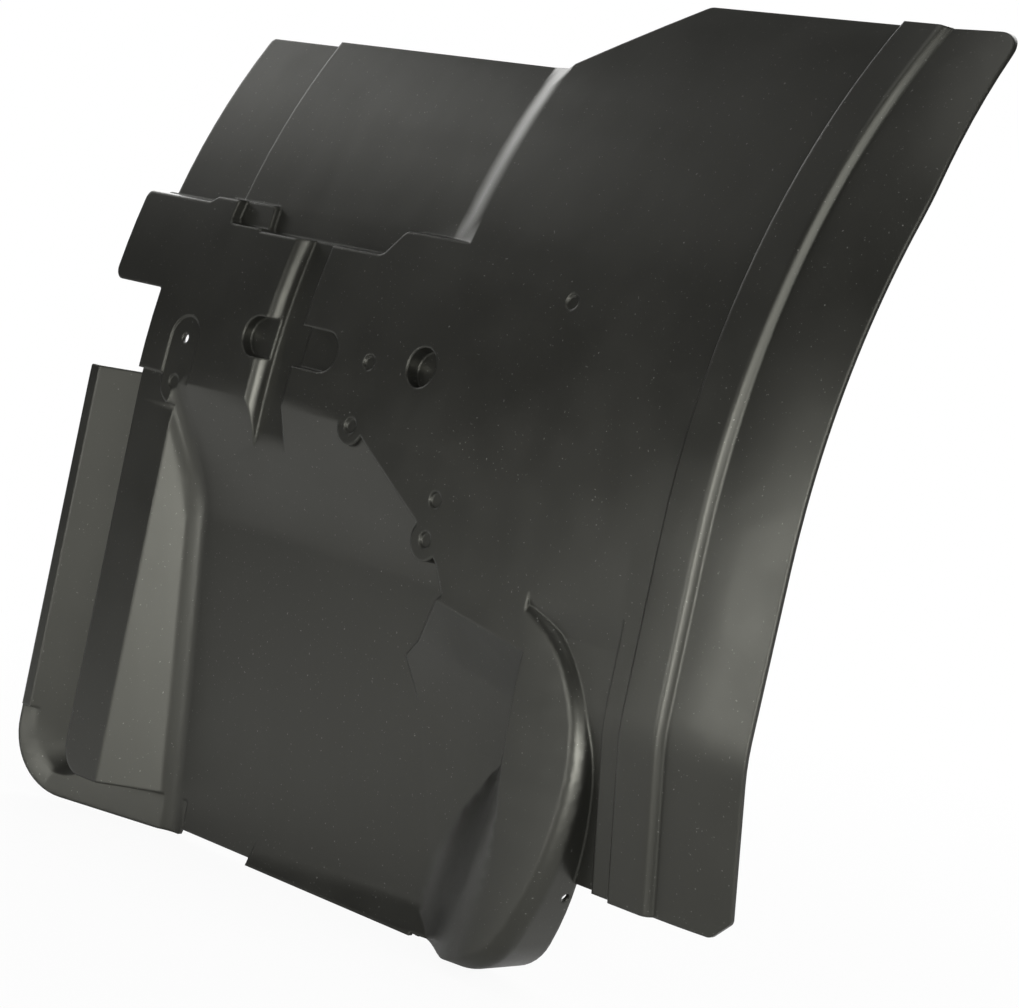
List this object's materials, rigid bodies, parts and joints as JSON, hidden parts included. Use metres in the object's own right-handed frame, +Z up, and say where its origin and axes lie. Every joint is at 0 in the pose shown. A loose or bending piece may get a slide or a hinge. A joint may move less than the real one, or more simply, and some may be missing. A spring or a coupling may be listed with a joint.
{
  "type": "truck mudguard",
  "caption": "Arched one-piece plastic mudguard panel for a truck wheel arch, with a stepped upper sheet, bracket channel, recess, gutter, stiffening bead and outer flange.",
  "frame": {"origin": "centre of the bolt hole, on the outer face", "axes": "+X along the wheel's axis towards the outer flange, +Y from the outer face towards the wheel, +Z up"},
  "size_m": [0.7909, 0.196, 0.7105],
  "materials": {
    "black_plastic": "semi-matt moulded black"
  },
  "bodies": {
    "root": {"mudguard": "black_plastic"}
  },
  "joints": []
}
